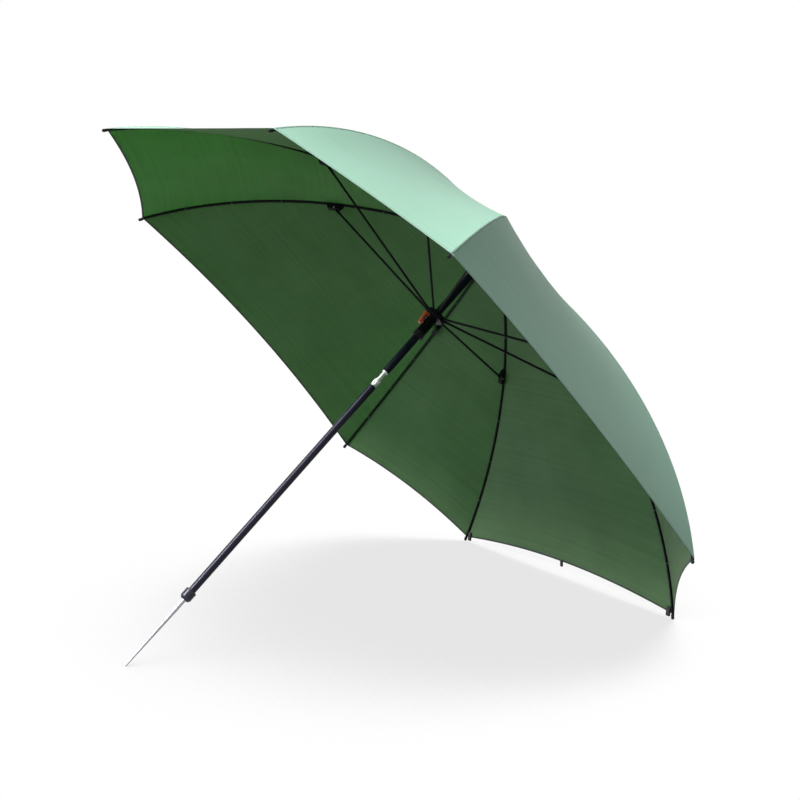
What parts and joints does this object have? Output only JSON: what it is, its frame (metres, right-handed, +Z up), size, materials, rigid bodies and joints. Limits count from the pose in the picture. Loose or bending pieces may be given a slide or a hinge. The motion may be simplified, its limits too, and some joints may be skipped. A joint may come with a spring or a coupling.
{
  "type": "fishing umbrella",
  "caption": "Large dark green angling umbrella, open and leaning on its ground spike and hem, with a folding frame, sliding runner with catch, and telescopic pole.",
  "frame": {"origin": "middle of the footprint, on the ground that the spike's end and two rib tips touch", "axes": "+Z up, +X and -X along the umbrella's width, the pole leans from the spike at -Y up to the crown towards +Y, and the canopy opens towards -Y"},
  "size_m": [1.9052, 1.5082, 1.4587],
  "materials": {
    "canopy_fabric": "dark green coated nylon, thin enough to let light through, slight sheen",
    "pole_paint": "navy black gloss paint on drawn steel tube",
    "frame_paint": "satin black paint",
    "black_plastic": "black moulded plastic",
    "bright_steel": "bright turned steel",
    "joint_alloy": "bare drawn alloy",
    "lever_plastic": "orange red moulded plastic",
    "webbing": "black woven tape"
  },
  "bodies": {
    "crown_pole": {"upper_pole": "pole_paint", "inner_tube": "joint_alloy", "crown_hub": "black_plastic", "crown_ring": "bright_steel", "crown_cap": "canopy_fabric", "crown_ferrule": "black_plastic"},
    "ground_pole": {"lower_pole": "pole_paint", "foot_collar": "pole_paint", "ground_spike": "bright_steel"},
    "pole_lock": {"lock_collar": "joint_alloy"},
    "runner_body": {"runner": "black_plastic", "runner_ring": "bright_steel", "catch_pin": "bright_steel", "catch_spring": "bright_steel"},
    "catch": {"catch_lever": "lever_plastic"},
    "arm_a": {"rib_a": "frame_paint", "bracket_a": "black_plastic", "tip_cap_a": "black_plastic"},
    "arm_b": {"rib_b": "frame_paint", "bracket_b": "black_plastic", "tip_cap_b": "black_plastic"},
    "arm_c": {"rib_c": "frame_paint", "bracket_c": "black_plastic", "tip_cap_c": "black_plastic"},
    "arm_d": {"rib_d": "frame_paint", "bracket_d": "black_plastic", "tip_cap_d": "black_plastic", "peg_loop_d": "webbing"},
    "arm_e": {"rib_e": "frame_paint", "bracket_e": "black_plastic", "tip_cap_e": "black_plastic", "peg_loop_e": "webbing"},
    "arm_f": {"rib_f": "frame_paint", "bracket_f": "black_plastic", "tip_cap_f": "black_plastic"},
    "arm_g": {"rib_g": "frame_paint", "bracket_g": "black_plastic", "tip_cap_g": "black_plastic"},
    "arm_h": {"rib_h": "frame_paint", "bracket_h": "black_plastic", "tip_cap_h": "black_plastic"},
    "strut_a": {"stretcher_a": "frame_paint"},
    "strut_b": {"stretcher_b": "frame_paint"},
    "strut_c": {"stretcher_c": "frame_paint"},
    "strut_d": {"stretcher_d": "frame_paint"},
    "strut_e": {"stretcher_e": "frame_paint"},
    "strut_f": {"stretcher_f": "frame_paint"},
    "strut_g": {"stretcher_g": "frame_paint"},
    "strut_h": {"stretcher_h": "frame_paint"},
    "panel_ab": {"gore_ab": "canopy_fabric"},
    "panel_bc": {"gore_bc": "canopy_fabric"},
    "panel_cd": {"gore_cd": "canopy_fabric"},
    "panel_de": {"gore_de": "canopy_fabric", "hang_loop": "webbing"},
    "panel_ef": {"gore_ef": "canopy_fabric"},
    "panel_fg": {"gore_fg": "canopy_fabric"},
    "panel_gh": {"gore_gh": "canopy_fabric"},
    "panel_ha": {"gore_ha": "canopy_fabric"}
  },
  "joints": [
    {"name": "lower_pole_slide", "type": "slide", "parent": "crown_pole", "child": "ground_pole", "axis": [0, -0.7628, -0.6467], "range_m": [-0.025, 0.35]},
    {"name": "lock_collar_twist", "type": "hinge", "parent": "ground_pole", "child": "pole_lock", "pos_m": [0, 0.05974, 0.69042], "axis": [0, 0.7628, 0.6467], "range_deg": [0, 90]},
    {"name": "canopy_fold", "type": "hinge", "parent": "crown_pole", "child": "arm_a", "pos_m": [-0.01218, 0.48267, 1.07609], "axis": [0.8616, -0.3282, 0.3871], "range_deg": [0, 62.98], "deforming": ["gore_ab", "gore_bc", "gore_cd", "gore_de", "gore_ef", "gore_fg", "gore_gh", "gore_ha"]},
    {"name": "rib_b_fold", "type": "hinge", "parent": "crown_pole", "child": "arm_b", "pos_m": [-0.02068, 0.48816, 1.06961], "axis": [0.5075, -0.5572, 0.6572], "range_deg": [0, 62.98]},
    {"name": "rib_c_fold", "type": "hinge", "parent": "crown_pole", "child": "arm_c", "pos_m": [-0.02068, 0.50392, 1.05103], "axis": [-0.5075, -0.5572, 0.6572], "range_deg": [0, 62.98]},
    {"name": "rib_d_fold", "type": "hinge", "parent": "crown_pole", "child": "arm_d", "pos_m": [-0.01218, 0.50941, 1.04455], "axis": [-0.8616, -0.3282, 0.3871], "range_deg": [0, 62.98]},
    {"name": "rib_e_fold", "type": "hinge", "parent": "crown_pole", "child": "arm_e", "pos_m": [0.01218, 0.50941, 1.04455], "axis": [-0.8616, 0.3282, -0.3871], "range_deg": [0, 62.98]},
    {"name": "rib_f_fold", "type": "hinge", "parent": "crown_pole", "child": "arm_f", "pos_m": [0.02068, 0.50392, 1.05103], "axis": [-0.5075, 0.5572, -0.6572], "range_deg": [0, 62.98]},
    {"name": "rib_g_fold", "type": "hinge", "parent": "crown_pole", "child": "arm_g", "pos_m": [0.02068, 0.48816, 1.06961], "axis": [0.5075, 0.5572, -0.6572], "range_deg": [0, 62.98]},
    {"name": "rib_h_fold", "type": "hinge", "parent": "crown_pole", "child": "arm_h", "pos_m": [0.01218, 0.48267, 1.07609], "axis": [0.8616, 0.3282, -0.3871], "range_deg": [0, 62.98]},
    {"name": "stretcher_a_fold", "type": "hinge", "parent": "arm_a", "child": "strut_a", "pos_m": [-0.27885, 0.08266, 1.33048], "axis": [0.8616, -0.3282, 0.3871], "range_deg": [-125.95, 0]},
    {"name": "stretcher_b_fold", "type": "hinge", "parent": "arm_b", "child": "strut_b", "pos_m": [-0.47339, 0.20846, 1.18209], "axis": [0.5075, -0.5572, 0.6572], "range_deg": [-125.95, 0]},
    {"name": "stretcher_c_fold", "type": "hinge", "parent": "arm_c", "child": "strut_c", "pos_m": [-0.47339, 0.56912, 0.7567], "axis": [-0.5075, -0.5572, 0.6572], "range_deg": [-125.95, 0]},
    {"name": "stretcher_d_fold", "type": "hinge", "parent": "arm_d", "child": "strut_d", "pos_m": [-0.27885, 0.69493, 0.60831], "axis": [-0.8616, -0.3282, 0.3871], "range_deg": [-125.95, 0]},
    {"name": "stretcher_e_fold", "type": "hinge", "parent": "arm_e", "child": "strut_e", "pos_m": [0.27885, 0.69493, 0.60831], "axis": [-0.8616, 0.3282, -0.3871], "range_deg": [-125.95, 0]},
    {"name": "stretcher_f_fold", "type": "hinge", "parent": "arm_f", "child": "strut_f", "pos_m": [0.47339, 0.56912, 0.7567], "axis": [-0.5075, 0.5572, -0.6572], "range_deg": [-125.95, 0]},
    {"name": "stretcher_g_fold", "type": "hinge", "parent": "arm_g", "child": "strut_g", "pos_m": [0.47339, 0.20846, 1.18209], "axis": [0.5075, 0.5572, -0.6572], "range_deg": [-125.95, 0]},
    {"name": "stretcher_h_fold", "type": "hinge", "parent": "arm_h", "child": "strut_h", "pos_m": [0.27885, 0.08266, 1.33048], "axis": [0.8616, 0.3282, -0.3871], "range_deg": [-125.95, 0]},
    {"name": "runner_level", "type": "hinge", "parent": "strut_a", "child": "runner_body", "pos_m": [-0.01218, 0.26817, 0.89424], "axis": [0.8616, -0.3282, 0.3871], "range_deg": [0, 62.98]},
    {"name": "gore_ab_fold", "type": "hinge", "parent": "crown_pole", "child": "panel_ab", "pos_m": [-0.01643, 0.48541, 1.07285], "axis": [0.7071, -0.4573, 0.5394], "range_deg": [0, 61.66]},
    {"name": "gore_bc_fold", "type": "hinge", "parent": "crown_pole", "child": "panel_bc", "pos_m": [-0.02068, 0.49604, 1.06032], "axis": [0, -0.6467, 0.7628], "range_deg": [0, 57.38]},
    {"name": "gore_cd_fold", "type": "hinge", "parent": "crown_pole", "child": "panel_cd", "pos_m": [-0.01643, 0.50666, 1.04779], "axis": [-0.7071, -0.4573, 0.5394], "range_deg": [0, 61.66]},
    {"name": "gore_de_fold", "type": "hinge", "parent": "crown_pole", "child": "panel_de", "pos_m": [0, 0.50941, 1.04455], "axis": [-1, 0, 0], "range_deg": [0, 57.38]},
    {"name": "gore_ef_fold", "type": "hinge", "parent": "crown_pole", "child": "panel_ef", "pos_m": [0.01643, 0.50666, 1.04779], "axis": [-0.7071, 0.4573, -0.5394], "range_deg": [0, 61.66]},
    {"name": "gore_fg_fold", "type": "hinge", "parent": "crown_pole", "child": "panel_fg", "pos_m": [0.02068, 0.49604, 1.06032], "axis": [0, 0.6467, -0.7628], "range_deg": [0, 57.38]},
    {"name": "gore_gh_fold", "type": "hinge", "parent": "crown_pole", "child": "panel_gh", "pos_m": [0.01643, 0.48541, 1.07285], "axis": [0.7071, 0.4573, -0.5394], "range_deg": [0, 61.66]},
    {"name": "gore_ha_fold", "type": "hinge", "parent": "crown_pole", "child": "panel_ha", "pos_m": [0, 0.48267, 1.07609], "axis": [1, 0, 0], "range_deg": [0, 57.38]},
    {"name": "catch_press", "type": "hinge", "parent": "runner_body", "child": "catch", "pos_m": [0, 0.242, 0.8764], "axis": [1, 0, 0], "range_deg": [0, 6], "stiffness_Nm_per_rad": 0.6, "springref_deg": -2.86, "deforming": ["catch_spring"]}
  ],
  "couplings": [
    {"joint": "rib_b_fold", "follows": "canopy_fold", "ratio": 1},
    {"joint": "rib_c_fold", "follows": "canopy_fold", "ratio": 1},
    {"joint": "rib_d_fold", "follows": "canopy_fold", "ratio": 1},
    {"joint": "rib_e_fold", "follows": "canopy_fold", "ratio": 1},
    {"joint": "rib_f_fold", "follows": "canopy_fold", "ratio": 1},
    {"joint": "rib_g_fold", "follows": "canopy_fold", "ratio": 1},
    {"joint": "rib_h_fold", "follows": "canopy_fold", "ratio": 1},
    {"joint": "stretcher_a_fold", "follows": "canopy_fold", "ratio": -2},
    {"joint": "stretcher_b_fold", "follows": "canopy_fold", "ratio": -2},
    {"joint": "stretcher_c_fold", "follows": "canopy_fold", "ratio": -2},
    {"joint": "stretcher_d_fold", "follows": "canopy_fold", "ratio": -2},
    {"joint": "stretcher_e_fold", "follows": "canopy_fold", "ratio": -2},
    {"joint": "stretcher_f_fold", "follows": "canopy_fold", "ratio": -2},
    {"joint": "stretcher_g_fold", "follows": "canopy_fold", "ratio": -2},
    {"joint": "stretcher_h_fold", "follows": "canopy_fold", "ratio": -2},
    {"joint": "runner_level", "follows": "canopy_fold", "ratio": 1},
    {"joint": "gore_ab_fold", "follows": "canopy_fold", "ratio": 0.97912},
    {"joint": "gore_bc_fold", "follows": "canopy_fold", "ratio": 0.91111},
    {"joint": "gore_cd_fold", "follows": "canopy_fold", "ratio": 0.97912},
    {"joint": "gore_de_fold", "follows": "canopy_fold", "ratio": 0.91111},
    {"joint": "gore_ef_fold", "follows": "canopy_fold", "ratio": 0.97912},
    {"joint": "gore_fg_fold", "follows": "canopy_fold", "ratio": 0.91111},
    {"joint": "gore_gh_fold", "follows": "canopy_fold", "ratio": 0.97912},
    {"joint": "gore_ha_fold", "follows": "canopy_fold", "ratio": 0.91111}
  ]
}
